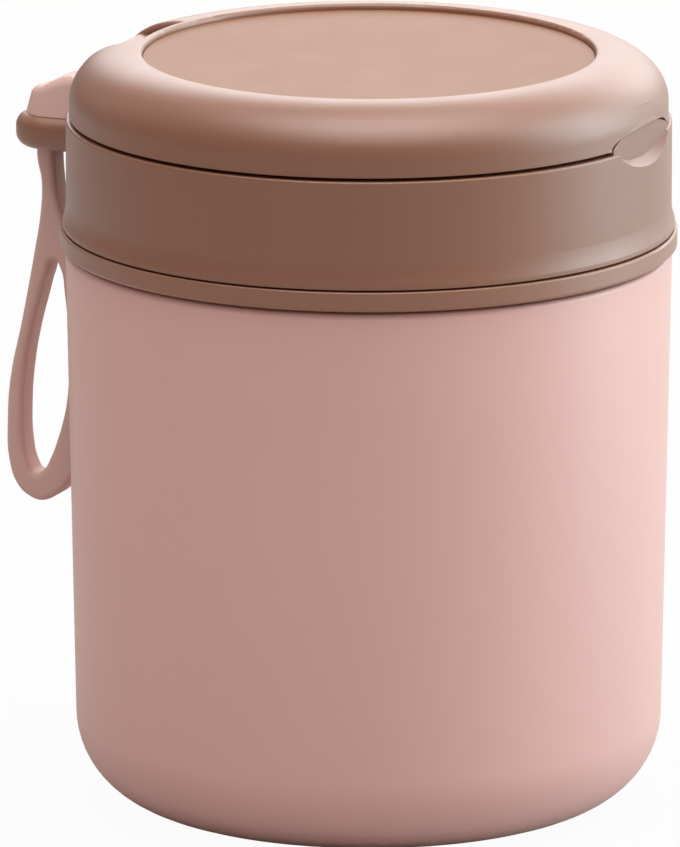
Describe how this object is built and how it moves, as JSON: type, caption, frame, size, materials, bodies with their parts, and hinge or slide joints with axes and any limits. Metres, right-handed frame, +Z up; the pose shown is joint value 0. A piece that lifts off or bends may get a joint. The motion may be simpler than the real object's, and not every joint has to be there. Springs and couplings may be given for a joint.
{
  "type": "insulated food jar",
  "caption": "Vacuum insulated steel food jar with a screw lid, a flip cover over a spoon tray and a silicone carry strap.",
  "frame": {"origin": "centre of the base, on the jar's axis", "axes": "+Z up along the jar's axis, opening tab towards -Y, hinge and strap towards +Y"},
  "size_m": [0.106, 0.1206, 0.1315],
  "materials": {
    "body_paint": "satin powder coat",
    "steel": "brushed",
    "ring_plastic": "satin",
    "lid_plastic": "satin",
    "disc_plastic": "matte",
    "core_plastic": "satin",
    "clear_silicone": "milky",
    "foam": "rough",
    "strap_silicone": "matte",
    "spoon_plastic": "satin"
  },
  "bodies": {
    "jar": {"outer_shell": "body_paint", "inner_liner": "steel", "shell_base": "steel", "base_pad": "clear_silicone", "vacuum_seal": "steel", "vacuum_getter": "steel", "neck_ring": "ring_plastic"},
    "seal": {"lid_gasket": "clear_silicone"},
    "lid": {"collar": "lid_plastic", "lid_core": "core_plastic", "insulation_foam": "foam", "lid_underplate": "core_plastic", "hinge_pin": "steel", "strap_head": "strap_silicone", "spoon_bowl": "steel", "spoon_handle": "spoon_plastic", "spoon_pin": "steel"},
    "vent": {"vent_plug": "clear_silicone"},
    "cover": {"cover_shell": "lid_plastic", "cover_disc": "disc_plastic", "cover_plate": "core_plastic"},
    "strap": {"strap_loop": "strap_silicone"}
  },
  "joints": [
    {"name": "lid_rise", "type": "slide", "parent": "jar", "child": "seal", "axis": [0, 0, 1], "range_m": [0, 0.0031]},
    {"name": "lid_turn", "type": "hinge", "parent": "seal", "child": "lid", "pos_m": [0, 0, 0.1136], "axis": [0, 0, 1], "range_deg": [0, 270]},
    {"name": "vent_lift", "type": "slide", "parent": "lid", "child": "vent", "axis": [0, 0, 1], "range_m": [0, 0.002]},
    {"name": "cover_flip", "type": "hinge", "parent": "lid", "child": "cover", "pos_m": [0, 0.0495, 0.1215], "axis": [-1, 0, 0], "range_deg": [0, 100]},
    {"name": "strap_swing", "type": "hinge", "parent": "lid", "child": "strap", "pos_m": [0, 0.0598, 0.1081], "axis": [1, 0, 0], "range_deg": [0, 60]}
  ],
  "couplings": [
    {"joint": "lid_rise", "follows": "lid_turn", "m_per_rad": 0.00063662}
  ]
}
